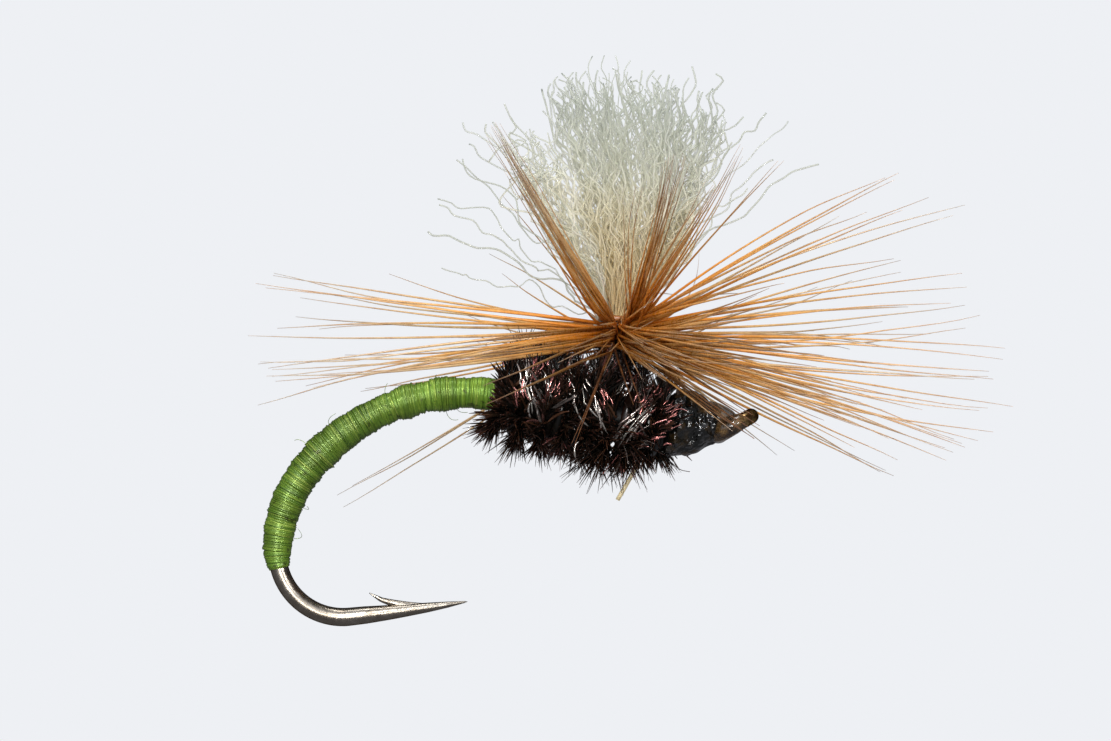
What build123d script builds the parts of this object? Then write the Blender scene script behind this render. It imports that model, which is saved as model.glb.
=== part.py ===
from build123d import *
import os
from math import cos, degrees, pi, radians, sin

# A parachute dry fly tied on a curved hook. Lengths are in mm and angles in degrees.
# The origin is the centre of the hook's eye, +X points forward past the eye and +Z points up
# the wing post. A heading is an angle in the hook's own plane, turning from +X towards +Z.

# Hook
WIRE_D = 0.47
EYE_WIRE_D = 0.39
EYE_OUTER_D = 1.35
EYE_BORE_R = 0.30
EYE_TILT = 28.4  # the eye's plane rises by this towards the front
SHANK_HEADING = 170.0
SHANK_LENGTH = 5.6
SHANK_TAPER_LENGTH = 0.9  # from the eye's thinner wire up to the full wire
BEND_ARCS = ((5.2, 61.0), (3.5, 36.5), (1.67, 98.5))  # radius and turn of each stretch
SPEAR_LENGTH = 0.40  # the straight wire between the bend and the point
# Distance along the point, and radius
POINT_OUTLINE = ((0.0, WIRE_D / 2), (0.7, 0.19), (1.6, 0.125), (2.1, 0.08), (2.62, 0.012))
# Distance along the point, and height above its axis, from the barb's tip round to its shoulder
BARB_OUTLINE = ((0.16, 0.55), (0.62, 0.14), (1.72, 0.05), (1.72, 0.15), (0.62, 0.34))
BARB_WIDTH = 0.17

# Threads, given by distance from the eye along the hook's wire
FOUNDATION = (1.0, 5.0, 0.31)  # start, end and outer radius
ABDOMEN_START = 5.05
ABDOMEN_END = 13.85
UNDERLAYER_R = 0.30
UNDERLAYER_SHORT = 0.05  # the underlayer stops this far inside the outer layers' end
ABDOMEN_STATIONS = (  # share of the length, and radius
    (0.0, 0.37),
    (0.08, 0.40),
    (0.25, 0.42),
    (0.45, 0.41),
    (0.62, 0.455),
    (0.84, 0.435),
    (0.94, 0.40),
    (1.0, 0.315),
)

# Wing post. It passes the hackle at POST_X, POST_Z.
POST_X = -2.97
POST_Z = 2.63
POST_HEADING = 85.0
POST_FOOT = 0.95  # distances up the post are from the axis of the shank
COLUMN_TOP = 2.62
COLUMN_R = 0.37
# Height above the hackle, and half the fan's length and width there
FAN_STATIONS = ((0.0, COLUMN_R, COLUMN_R), (0.9, 0.85, 0.62), (3.2, 1.85, 1.35), (6.1, 2.75, 2.0))
STRAND_NAMES = ("wing_strand_rear", "wing_strand_middle", "wing_strand_front")
STRAND_SPLIT = 0.33  # the middle strand's share of the fan's width
CUTTER_FOOT = -1.0  # the blocks that split the strands reach from here to CUTTER_REACH
CUTTER_REACH = 12.0
BUTT_OUTLINE = ((2.75, 0.50), (4.9, 0.36))  # distance from the eye, and radius
BUTT_OFFSET = 0.12  # the butts lie above the shank's axis
POST_WRAP_R = 0.45

# Hackle: one feather, its stem wound down the post
STEM_SIDE = 0.11
STEM_GAP = 0.01  # between a wound stem and what it is wound on
STEM_PITCH = 0.17
HACKLE_TURNS = 5
BARBS_PER_TURN = 28
BARB_ROOT_GAP = 0.05
BARB_ROOT_SIDE = 0.085
BARB_TIP_SIDE = 0.02
BARB_LENGTH = 8.2
BARB_LENGTH_CHANGE = 0.65
BARB_LENGTH_WAVE = (4.1, 0.9)  # steps of the wave per barb and per turn
BARB_RISE_TOP = 11.5
BARB_RISE_STEP = 2.8
BARB_RISE_CHANGE = 3.0
BARB_RISE_WAVE = (2.4, 1.7)
HACKLE_BUTT_FROM = (-2.35, -0.62)  # x and z of its two ends
HACKLE_BUTT_TO = (-2.97, -1.91)
HACKLE_BUTT_SIDE = 0.10

# Thorax
CORE_START = 1.25
CORE_END = 5.35
CORE_R = 0.60
HERL_SIDE = 0.11
HERL_PITCH = 0.52
HERL_REAR_SPAN = (3.25, 5.25)
HERL_FRONT_SPAN = (1.35, 2.05)
FLUE_BED_GAP = 0.03
# Distance from the eye, and radius, of the barbules' outer shape
FLUE_FRONT_OUTLINE = ((1.25, 0.95), (1.6, 1.2), (2.55, 1.32))
FLUE_REAR_OUTLINE = ((2.6, 1.32), (3.3, 1.42), (4.6, 1.42), (5.3, 1.32), (5.72, 1.05))

# Head. The outline gives distance from the eye, and radius.
HEAD_OUTLINE = ((0.24, 0.42), (0.42, 0.57), (0.72, 0.70), (1.05, 0.76), (1.22, 0.72))
WHIP_START = 0.34
WHIP_TURNS = 5
WHIP_PITCH = 0.055
WHIP_WIDTH = 0.05
WHIP_SUNK = 0.06  # how far a turn beds into the head
WHIP_FRONT_HEIGHT = 0.03  # each turn leans back on the slope of the head
WHIP_REAR_HEIGHT = 0.066
CEMENT_THICKNESS = 0.05


def at(x, z, y=0.0):
    return Vector(x, y, z)


def along(heading, length=1.0):
    """A vector in the hook's plane."""
    return Vector(length * cos(radians(heading)), 0, length * sin(radians(heading)))


def frame_at(origin, heading):
    """A plane whose x axis runs along heading and whose normal is the hook plane's normal."""
    return Plane(origin=origin, x_dir=along(heading), z_dir=(0, -1, 0))


def turned(origin, heading, outline):
    """A closed outline of (distance, radius) points turned about the line from origin along heading."""
    face = make_face(Polyline(*outline, close=True))
    return frame_at(origin, heading) * revolve(face, Axis.X, 360)


def turned_solid(origin, heading, outline):
    """As turned, for an outline whose two ends are closed down to the axis."""
    ends = [(outline[0][0], 0.0), *outline, (outline[-1][0], 0.0)]
    return turned(origin, heading, ends)


def rod(origin, heading, start, end, radius):
    return turned_solid(origin, heading, [(start, radius), (end, radius)])


def bar(start, end, start_side, end_side):
    """A straight four-sided bar between two points, with a square at each end."""
    run = end - start
    near = Plane(origin=start, z_dir=run)
    far = Plane(origin=end, x_dir=near.x_dir, z_dir=run)
    return loft([near * Rectangle(start_side, start_side), far * Rectangle(end_side, end_side)])


def bend_edges(start, heading, arcs):
    """Tangent arcs that each turn from +X towards +Z, with the last point and heading."""
    edges = []
    for radius, turn in arcs:
        centre = start + along(heading + 90, radius)
        middle = centre + along(heading - 90 + turn / 2, radius)
        end = centre + along(heading - 90 + turn, radius)
        edges.append(ThreePointArc(start, middle, end))
        start = end
        heading += turn
    return edges, start, heading


def arcs_up_to(length):
    """The bend's arcs, cut off at a length along them."""
    kept = []
    for radius, turn in BEND_ARCS:
        arc_length = radius * radians(turn)
        if length <= arc_length:
            kept.append((radius, degrees(length / radius)))
            return kept
        kept.append((radius, turn))
        length -= arc_length
    return kept


# ---------------------------------------------------------------- places on the hook and the post
EYE_RING_R = (EYE_OUTER_D - EYE_WIRE_D) / 2
EYE_AXIS = along(EYE_TILT - 90)
SHANK_START = along(EYE_TILT + 180, EYE_RING_R)
SHANK_END = SHANK_START + along(SHANK_HEADING, SHANK_LENGTH)
POST_CENTRE = at(POST_X, POST_Z)
POST_ABOVE_SHANK = (POST_CENTRE - SHANK_START).dot(along(SHANK_HEADING - 90))
POST_DISTANCE = POST_ABOVE_SHANK / cos(radians(POST_HEADING - SHANK_HEADING + 90))
POST_BASE = POST_CENTRE - along(POST_HEADING, POST_DISTANCE)


def wire_run(start, end, radius):
    """A round bar of this radius along the hook's wire, between two distances from the eye."""
    first = SHANK_START + along(SHANK_HEADING, start)
    edges = [Line(first, SHANK_END)]
    arcs, _, _ = bend_edges(SHANK_END, SHANK_HEADING, arcs_up_to(end - SHANK_LENGTH))
    profile = Plane(origin=first, z_dir=along(SHANK_HEADING)) * Circle(radius)
    return sweep(profile, path=Wire(edges + arcs))


# ---------------------------------------------------------------- hook
def eye():
    """The ring, with the round land that a tippet or a pin passes through."""
    plane = Plane(origin=(0, 0, 0), z_dir=EYE_AXIS)
    return plane * (Torus(EYE_RING_R, EYE_WIRE_D / 2) - Cylinder(EYE_BORE_R, EYE_OUTER_D))


def shank_and_bend():
    taper = turned_solid(
        SHANK_START, SHANK_HEADING, [(0, EYE_WIRE_D / 2), (SHANK_TAPER_LENGTH, WIRE_D / 2)]
    )
    bend_length = sum(radius * radians(turn) for radius, turn in BEND_ARCS)
    return taper + wire_run(SHANK_TAPER_LENGTH, SHANK_LENGTH + bend_length, WIRE_D / 2)


def point_and_barb():
    _, bend_end, heading = bend_edges(SHANK_END, SHANK_HEADING, BEND_ARCS)
    spear = rod(bend_end, heading, 0, SPEAR_LENGTH, WIRE_D / 2)
    start = bend_end + along(heading, SPEAR_LENGTH)
    point = turned_solid(start, heading, POINT_OUTLINE)
    face = make_face(Polyline(*BARB_OUTLINE, close=True))
    barb = frame_at(start, heading) * extrude(face, amount=BARB_WIDTH / 2, both=True)
    return spear + point + barb


def hook(shank):
    return eye() + shank + point_and_barb()


# ---------------------------------------------------------------- threads on the hook
def thread_foundation(wire):
    start, end, radius = FOUNDATION
    return rod(SHANK_START, SHANK_HEADING, start, end, radius) - wire


def abdomen_underlayer(wire):
    return wire_run(ABDOMEN_START, ABDOMEN_END - UNDERLAYER_SHORT, UNDERLAYER_R) - wire


def abdomen_thread(inner):
    """The outer layers of green thread, a little fuller over the bend."""
    first = SHANK_START + along(SHANK_HEADING, ABDOMEN_START)
    arcs, _, _ = bend_edges(SHANK_END, SHANK_HEADING, arcs_up_to(ABDOMEN_END - SHANK_LENGTH))
    path = Wire([Line(first, SHANK_END)] + arcs)
    sections = [
        Plane(origin=path @ share, z_dir=path % share) * Circle(radius)
        for share, radius in ABDOMEN_STATIONS
    ]
    return sweep(sections, path=path, multisection=True) - inner


# ---------------------------------------------------------------- wing post
def wing_strands(clear_of):
    """Three strands of yarn that stand in one column and flare into a fan above the hackle."""
    column = rod(POST_BASE, POST_HEADING, POST_FOOT, COLUMN_TOP, COLUMN_R)
    sections = []
    for height, half_length, half_width in FAN_STATIONS:
        origin = POST_BASE + along(POST_HEADING, COLUMN_TOP + height)
        plane = Plane(origin=origin, x_dir=along(POST_HEADING - 90), z_dir=along(POST_HEADING))
        sections.append(plane * Ellipse(half_length, half_width))
    yarn = column + loft(sections) - clear_of
    return [yarn & cutter for cutter in strand_cutters()]


def strand_cutters():
    """Three blocks that split the yarn by flat cuts that open with the fan."""
    near_half = COLUMN_R * STRAND_SPLIT
    fan_height, fan_half, _ = FAN_STATIONS[-1]
    far_half = near_half + (fan_half - COLUMN_R) * STRAND_SPLIT * CUTTER_REACH / fan_height
    foot, top = (CUTTER_FOOT, near_half), (CUTTER_REACH, far_half)
    outlines = [
        [foot, (CUTTER_FOOT, CUTTER_REACH), (CUTTER_REACH, CUTTER_REACH), top],
        [foot, top, (CUTTER_REACH, -far_half), (CUTTER_FOOT, -near_half)],
        [
            (CUTTER_FOOT, -near_half),
            (CUTTER_REACH, -far_half),
            (CUTTER_REACH, -CUTTER_REACH),
            (CUTTER_FOOT, -CUTTER_REACH),
        ],
    ]
    plane = frame_at(POST_BASE + along(POST_HEADING, COLUMN_TOP), POST_HEADING)
    faces = [make_face(Polyline(*outline, close=True)) for outline in outlines]
    return [plane * extrude(face, amount=CUTTER_REACH, both=True) for face in faces]


def yarn_butts(foundation):
    """The yarn's trimmed other end, lashed along the top of the shank with a taper."""
    origin = SHANK_START + along(SHANK_HEADING - 90, BUTT_OFFSET)
    return turned_solid(origin, SHANK_HEADING, BUTT_OUTLINE) - foundation


def post_wraps(clear_of):
    outline = [
        (POST_FOOT, COLUMN_R),
        (POST_FOOT, POST_WRAP_R),
        (COLUMN_TOP, POST_WRAP_R),
        (COLUMN_TOP, COLUMN_R),
    ]
    return turned(POST_BASE, POST_HEADING, outline) - clear_of


# ---------------------------------------------------------------- hackle
def coil(plane, radius, pitch, turns, side):
    """A square stem wound as a helix about the plane's z axis."""
    path = Helix(pitch=pitch, height=pitch * turns, radius=radius)
    profile = Plane(origin=path @ 0, x_dir=(1, 0, 0), z_dir=path % 0) * Rectangle(side, side)
    return plane * sweep(profile, path=path, is_frenet=True)


def hackle_stem():
    height = HACKLE_TURNS * STEM_PITCH
    origin = POST_BASE + along(POST_HEADING, COLUMN_TOP - height - STEM_SIDE)
    plane = Plane(origin=origin, x_dir=along(POST_HEADING - 90), z_dir=along(POST_HEADING))
    radius = POST_WRAP_R + STEM_SIDE / 2 + STEM_GAP
    return coil(plane, radius, STEM_PITCH, HACKLE_TURNS, STEM_SIDE)


def barb_ring(turn):
    """One turn's barbs. They lean up, the top turn most, and their lengths and leans vary a little."""
    height = COLUMN_TOP - STEM_SIDE - (turn + 0.5) * STEM_PITCH
    origin = POST_BASE + along(POST_HEADING, height)
    plane = Plane(origin=origin, x_dir=along(POST_HEADING - 90), z_dir=along(POST_HEADING))
    root_r = POST_WRAP_R + STEM_SIDE + BARB_ROOT_GAP
    barbs = []
    for i in range(BARBS_PER_TURN):
        angle = 2 * pi * (i + turn / HACKLE_TURNS) / BARBS_PER_TURN
        wave = sin(BARB_RISE_WAVE[0] * i + BARB_RISE_WAVE[1] * turn)
        rise = radians(BARB_RISE_TOP - BARB_RISE_STEP * turn + BARB_RISE_CHANGE * wave)
        wave = sin(BARB_LENGTH_WAVE[0] * i + BARB_LENGTH_WAVE[1] * turn)
        length = BARB_LENGTH + BARB_LENGTH_CHANGE * wave
        flat = Vector(cos(angle), sin(angle), 0)
        start = flat * root_r
        end = start + (flat * cos(rise) + Vector(0, 0, sin(rise))) * length
        barbs.append(plane * bar(start, end, BARB_ROOT_SIDE, BARB_TIP_SIDE))
    return Compound(children=barbs)


def hackle_butt():
    return bar(at(*HACKLE_BUTT_FROM), at(*HACKLE_BUTT_TO), HACKLE_BUTT_SIDE, HACKLE_BUTT_SIDE)


# ---------------------------------------------------------------- thorax
def thorax_wraps(clear_of):
    """The black thread that binds the yarn's butts and makes the bed for the herl."""
    return rod(SHANK_START, SHANK_HEADING, CORE_START, CORE_END, CORE_R) - clear_of


def herl_stem(start, end, phase):
    """A herl's stem wound along the thorax between two distances from the eye."""
    origin = SHANK_START + along(SHANK_HEADING, start)
    side = Vector(0, 1, 0) * cos(phase) + along(SHANK_HEADING - 90) * sin(phase)
    plane = Plane(origin=origin, x_dir=side, z_dir=along(SHANK_HEADING))
    turns = (end - start) / HERL_PITCH
    return coil(plane, CORE_R + HERL_SIDE / 2 + STEM_GAP, HERL_PITCH, turns, HERL_SIDE)


def herl_flue(outline, clear_of):
    """The outer shape of the barbules that stand out from a herl's turns."""
    return turned_solid(SHANK_START, SHANK_HEADING, outline) - clear_of


# ---------------------------------------------------------------- head
def head_thread(clear_of):
    return turned_solid(SHANK_START, SHANK_HEADING, HEAD_OUTLINE) - clear_of


def head_radius(distance):
    for (a, r), (b, s) in zip(HEAD_OUTLINE, HEAD_OUTLINE[1:]):
        if a <= distance <= b:
            return r + (s - r) * (distance - a) / (b - a)
    return HEAD_OUTLINE[-1][1]


def whip_finish(clear_of):
    """The knot's turns, laid side by side over the front of the head."""
    rings = []
    for i in range(WHIP_TURNS):
        distance = WHIP_START + i * WHIP_PITCH
        r = head_radius(distance)
        front, rear = distance - WHIP_WIDTH / 2, distance + WHIP_WIDTH / 2
        outline = [
            (front, r - WHIP_SUNK),
            (front, r + WHIP_FRONT_HEIGHT),
            (rear, r + WHIP_REAR_HEIGHT),
            (rear, r - WHIP_SUNK),
        ]
        rings.append(turned(SHANK_START, SHANK_HEADING, outline) - clear_of)
    return Compound(children=rings)


def head_cement(clear_of):
    """The clear varnish over the head, down to the back of the eye."""
    outer = [(distance, radius + CEMENT_THICKNESS) for distance, radius in HEAD_OUTLINE]
    outer[0] = (outer[0][0] - CEMENT_THICKNESS / 2, outer[0][1] - CEMENT_THICKNESS / 2)
    return turned_solid(SHANK_START, SHANK_HEADING, outer) - clear_of


# ---------------------------------------------------------------- assembly
def build():
    shank = shank_and_bend()
    foundation = thread_foundation(shank)
    under = abdomen_underlayer(shank)
    green = abdomen_thread(wire_run(ABDOMEN_START, ABDOMEN_END, UNDERLAYER_R))
    bed = rod(SHANK_START, SHANK_HEADING, *FOUNDATION)
    butts = yarn_butts(bed)
    butt = hackle_butt()
    core = thorax_wraps(shank + bed + butts + under + green + butt)
    post_column = rod(POST_BASE, POST_HEADING, POST_FOOT, COLUMN_TOP, POST_WRAP_R)
    core_block = rod(SHANK_START, SHANK_HEADING, CORE_START, CORE_END, CORE_R)
    bed_r = CORE_R + HERL_SIDE + FLUE_BED_GAP
    herl_bed = rod(SHANK_START, SHANK_HEADING, CORE_START, CORE_END, bed_r)
    flue_clear = herl_bed + shank + under + green + post_column + butt
    head = head_thread(shank + bed)
    whip = whip_finish(head)
    parts = {
        "hook": hook(shank),
        "thread_foundation": foundation,
        "abdomen_underlayer": under,
        "abdomen_thread": green,
        "yarn_butts": butts,
        "thorax_wraps": core,
        "post_wraps": post_wraps(core_block),
        "hackle_stem": hackle_stem(),
        "hackle_butt": butt,
        "herl_stem_rear": herl_stem(*HERL_REAR_SPAN, 0.0),
        "herl_stem_front": herl_stem(*HERL_FRONT_SPAN, pi),
        "herl_flue_rear": herl_flue(FLUE_REAR_OUTLINE, flue_clear),
        "herl_flue_front": herl_flue(FLUE_FRONT_OUTLINE, flue_clear),
        "head_thread": head,
        "whip_finish": whip,
        "head_cement": head_cement(shank + bed + head + whip),
    }
    for name, strand in zip(STRAND_NAMES, wing_strands(core_block)):
        parts[name] = strand
    for turn in range(HACKLE_TURNS):
        parts[f"hackle_barbs_{turn + 1}"] = barb_ring(turn)
    return parts


os.makedirs("parts", exist_ok=True)
for name, shape in build().items():
    export_step(shape, f"parts/{name}.step")
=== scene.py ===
"""The looks of a parachute dry fly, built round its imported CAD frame.

Shapes are worked out in millimetres in the frame's axes and written to meshes in metres. The fly's
hook lies in the XZ plane with its eye at the origin, +X forward and +Z up the wing post.
"""
import math

import bpy
import numpy as np
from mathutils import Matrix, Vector


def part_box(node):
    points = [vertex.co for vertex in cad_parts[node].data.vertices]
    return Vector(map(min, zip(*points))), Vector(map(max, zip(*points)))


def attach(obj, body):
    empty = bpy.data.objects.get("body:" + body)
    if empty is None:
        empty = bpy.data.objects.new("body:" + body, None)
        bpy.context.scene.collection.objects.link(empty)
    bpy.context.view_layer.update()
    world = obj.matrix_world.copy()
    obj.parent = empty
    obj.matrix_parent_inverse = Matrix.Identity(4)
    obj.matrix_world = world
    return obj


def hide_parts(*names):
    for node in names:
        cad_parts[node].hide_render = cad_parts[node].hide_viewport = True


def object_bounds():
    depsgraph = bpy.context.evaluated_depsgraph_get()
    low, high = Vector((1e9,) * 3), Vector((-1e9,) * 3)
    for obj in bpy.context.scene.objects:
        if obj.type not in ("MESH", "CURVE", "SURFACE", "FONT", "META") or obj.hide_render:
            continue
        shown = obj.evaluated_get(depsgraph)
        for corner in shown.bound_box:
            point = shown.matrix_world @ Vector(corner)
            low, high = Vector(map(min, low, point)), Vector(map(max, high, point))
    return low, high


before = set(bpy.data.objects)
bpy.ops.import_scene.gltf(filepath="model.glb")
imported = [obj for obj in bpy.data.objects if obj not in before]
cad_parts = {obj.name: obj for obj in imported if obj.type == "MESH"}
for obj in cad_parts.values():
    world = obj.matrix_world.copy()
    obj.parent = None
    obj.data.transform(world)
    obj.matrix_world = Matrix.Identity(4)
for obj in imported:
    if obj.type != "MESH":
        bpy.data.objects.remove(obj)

MM = 0.001
cad_low, cad_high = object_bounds()
TAU = 2 * math.pi

# The hook's wire, as in the CAD part
WIRE_R = 0.235
EYE_WIRE_R = 0.195
EYE_RING_R = 0.48
EYE_TILT = 28.4
SHANK_HEADING = 170.0
SHANK_LENGTH = 5.6
SHANK_TAPER = 0.9
BEND_ARCS = ((5.2, 61.0), (3.5, 36.5), (1.67, 98.5))
SPEAR_LENGTH = 0.40
POINT_LENGTH = 2.62

# The post, as in the CAD part
POST_X, POST_Z, POST_HEADING = -2.97, 2.63, 85.0
COLUMN_TOP = 2.62
POST_WRAP_R = 0.45
POST_WRAPS_LOW, POST_WRAPS_HIGH, POST_WRAP_TURNS = 0.9, COLUMN_TOP - 0.14, 22


# ---- vectors
def unit(v):
    v = np.asarray(v, float)
    return v / np.maximum(np.linalg.norm(v, axis=-1, keepdims=True), 1e-12)


def along(heading, length=1.0):
    """A vector in the hook's plane."""
    a = math.radians(heading)
    return np.array([length * math.cos(a), 0.0, length * math.sin(a)])


def smooth(t):
    """An ease from 0 to 1 that is level at both ends."""
    t = np.clip(t, 0, 1)
    return t * t * (3 - 2 * t)


def wander(rng, n, k, step, size):
    """n smooth random lines of k values, with a new value every step points."""
    knots = rng.normal(0, size, (n, k // step + 3))
    x = np.arange(k) / step
    i = x.astype(int)
    f = smooth(x - i)
    return knots[:, i] * (1 - f) + knots[:, i + 1] * f


def along_run(x, at, points):
    """Where a run of points has got to at x, when it passes each of them at its own place in at."""
    return np.stack([np.interp(x, at, points[:, k]) for k in range(3)], -1)


# ---- places on the hook and the post
SHANK_START = along(EYE_TILT + 180, EYE_RING_R)
Y_AXIS = np.array([0.0, 1.0, 0.0])
UPWARD = np.array([0.0, 0.0, 1.0])


def wire_line(step=0.02):
    """The wire's centre line from the eye to the start of the point: distances, points, directions."""
    points, headings = [], []
    start, heading = SHANK_START, SHANK_HEADING
    for d in np.arange(0, SHANK_LENGTH, step):
        points.append(start + along(heading, d))
        headings.append(heading)
    start = start + along(heading, SHANK_LENGTH)
    for radius, turn in BEND_ARCS:
        centre = start + along(heading + 90, radius)
        count = max(2, round(radius * math.radians(turn) / step))
        for i in range(count):
            a = heading + turn * i / count
            points.append(centre + along(a - 90, radius))
            headings.append(a)
        heading += turn
        start = centre + along(heading - 90, radius)
    for d in np.arange(0, SPEAR_LENGTH + POINT_LENGTH + step / 2, step):
        points.append(start + along(heading, d))
        headings.append(heading)
    points = np.array(points)
    steps = np.linalg.norm(np.diff(points, axis=0), axis=1)
    distances = np.concatenate([[0], np.cumsum(steps)])
    directions = np.array([along(h) for h in headings])
    return distances, points, directions


WIRE_AT, WIRE_POINTS, WIRE_DIRECTIONS = wire_line()


def on_wire(distance):
    """Point, direction and upward normal at a distance along the wire, for one or many distances."""
    d = np.asarray(distance, float)
    direction = unit(along_run(d, WIRE_AT, WIRE_DIRECTIONS))
    return along_run(d, WIRE_AT, WIRE_POINTS), direction, np.cross(direction, Y_AXIS)


def shank_distance(line):
    """How far along the straight shank the points of a line are."""
    return (SHANK_START[0] - line[:, 0]) / -along(SHANK_HEADING)[0]


def round_wire(up, angle):
    """Outward directions at angles round the wire, from its upward normal."""
    return up * np.cos(angle)[:, None] + Y_AXIS * np.sin(angle)[:, None]


POST_AXIS = along(POST_HEADING)
POST_SIDE = along(POST_HEADING - 90)
POST_CENTRE = np.array([POST_X, 0.0, POST_Z])
POST_BASE = POST_CENTRE - POST_AXIS * (
    np.dot(POST_CENTRE - SHANK_START, along(SHANK_HEADING - 90))
    / math.cos(math.radians(POST_HEADING - SHANK_HEADING + 90))
)


def off_post(height, angle, radius):
    """A point at a height up the post, at an angle from its front side, at a radius."""
    height, angle, radius = (np.asarray(v, float)[..., None] for v in (height, angle, radius))
    ring = POST_SIDE * np.cos(angle) + Y_AXIS * np.sin(angle)
    return POST_BASE + POST_AXIS * height + ring * radius


# ---- meshes
class Strands:
    """Collects tubes with a chosen cross-section, then makes them one mesh with attributes."""

    def __init__(self):
        self.points, self.faces, self.values, self.count = [], [], {}, 0

    def add(self, lines, wide, thick=None, sides=5, across=None, **values):
        """Lines are (n, k, 3), or (k, 3) for one. The half-widths, wide and thick, are along the direction
        across and square to it. Each value is a number per strand or per point, kept as an attribute."""
        lines = np.asarray(lines, float)
        if lines.ndim == 2:
            lines = lines[None]
            values = {name: np.atleast_1d(value)[None] for name, value in values.items()}
        n, k, _ = lines.shape
        wide = np.broadcast_to(np.asarray(wide, float), (n, k))
        thick = wide if thick is None else np.broadcast_to(np.asarray(thick, float), (n, k))
        run = unit(np.gradient(lines, axis=1))
        if across is None:
            whole = unit(lines[:, -1] - lines[:, 0])
            least = np.eye(3)[np.argmin(np.abs(whole), axis=1)]
            across = np.cross(whole, least)[:, None, :]
        across = np.broadcast_to(np.asarray(across, float), (n, k, 3))
        u = unit(across - run * np.sum(across * run, axis=2, keepdims=True))
        v = np.cross(run, u)
        a = np.arange(sides) * TAU / sides
        self.add_rings(
            lines[:, :, None, :]
            + u[:, :, None, :] * (np.cos(a)[:, None] * wide[:, :, None, None])
            + v[:, :, None, :] * (np.sin(a)[:, None] * thick[:, :, None, None]),
            **values,
        )

    def add_rings(self, rings, **values):
        """Tubes with closed ends from their rings of points, (n, k, sides, 3)."""
        n, k, sides, _ = rings.shape
        first = self.count + np.arange(n)[:, None, None] * k * sides
        i = np.arange(k - 1)[None, :, None] * sides
        j = np.arange(sides)[None, None, :]
        j1 = (j + 1) % sides
        quads = np.stack([first + i + j, first + i + j1, first + i + sides + j1, first + i + sides + j], -1)
        self.faces.append(quads.reshape(-1, 4))
        start = self.count + np.arange(n)[:, None] * k * sides
        self.faces.append(start + np.arange(sides)[::-1])
        self.faces.append(start + (k - 1) * sides + np.arange(sides))
        self.points.append(rings.reshape(-1, 3))
        t = np.broadcast_to(np.linspace(0, 1, k)[None, :], (n, k))
        for name, value in {"along": t, **values}.items():
            value = np.asarray(value, float)
            if value.ndim == 1:
                value = value[:, None]
            spread = np.broadcast_to(value, (n, k))
            self.values.setdefault(name, []).append(np.repeat(spread.reshape(-1), sides))
        self.count += n * k * sides

    def build(self, name):
        points = np.concatenate(self.points) * MM
        loops = np.concatenate([f.reshape(-1) for f in self.faces]).astype(np.int32)
        totals = np.concatenate([np.full(len(f), f.shape[1]) for f in self.faces]).astype(np.int32)
        values = {key: np.concatenate(value) for key, value in self.values.items()}
        return mesh_object(name, points, loops, totals, values)


def mesh_object(name, points, loops, totals, values=None):
    """A smooth mesh from arrays: points in metres, corner indices and corners per face."""
    mesh = bpy.data.meshes.new(name)
    mesh.vertices.add(len(points))
    mesh.vertices.foreach_set("co", np.asarray(points, np.float32).reshape(-1))
    mesh.loops.add(len(loops))
    mesh.loops.foreach_set("vertex_index", loops)
    starts = np.concatenate([[0], np.cumsum(totals)[:-1]]).astype(np.int32)
    mesh.polygons.add(len(totals))
    mesh.polygons.foreach_set("loop_start", starts)
    mesh.polygons.foreach_set("loop_total", totals)
    mesh.polygons.foreach_set("use_smooth", np.ones(len(totals), bool))
    mesh.update(calc_edges=True)
    mesh.validate()
    for key, data in (values or {}).items():
        layer = mesh.attributes.new(key, "FLOAT", "POINT")
        layer.data.foreach_set("value", np.asarray(data, np.float32))
    obj = bpy.data.objects.new(name, mesh)
    bpy.context.scene.collection.objects.link(obj)
    return obj


def coil_line(start, end, turns, radius, per_turn, rng=None, wobble=0.0, phase=0.0):
    """A helix round the wire between two distances. radius is a function of the distance."""
    k = int(turns * per_turn) + 1
    t = np.linspace(0, 1, k)
    distance = start + (end - start) * t
    if rng is not None:
        distance = distance + wander(rng, 1, k, per_turn * 2 // 3, wobble)[0]
    distance = np.clip(distance, min(start, end), max(start, end))
    angle = phase + TAU * turns * t
    point, run, up = on_wire(distance)
    out = round_wire(up, angle)
    return point + out * radius(distance)[:, None], run, out


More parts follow.
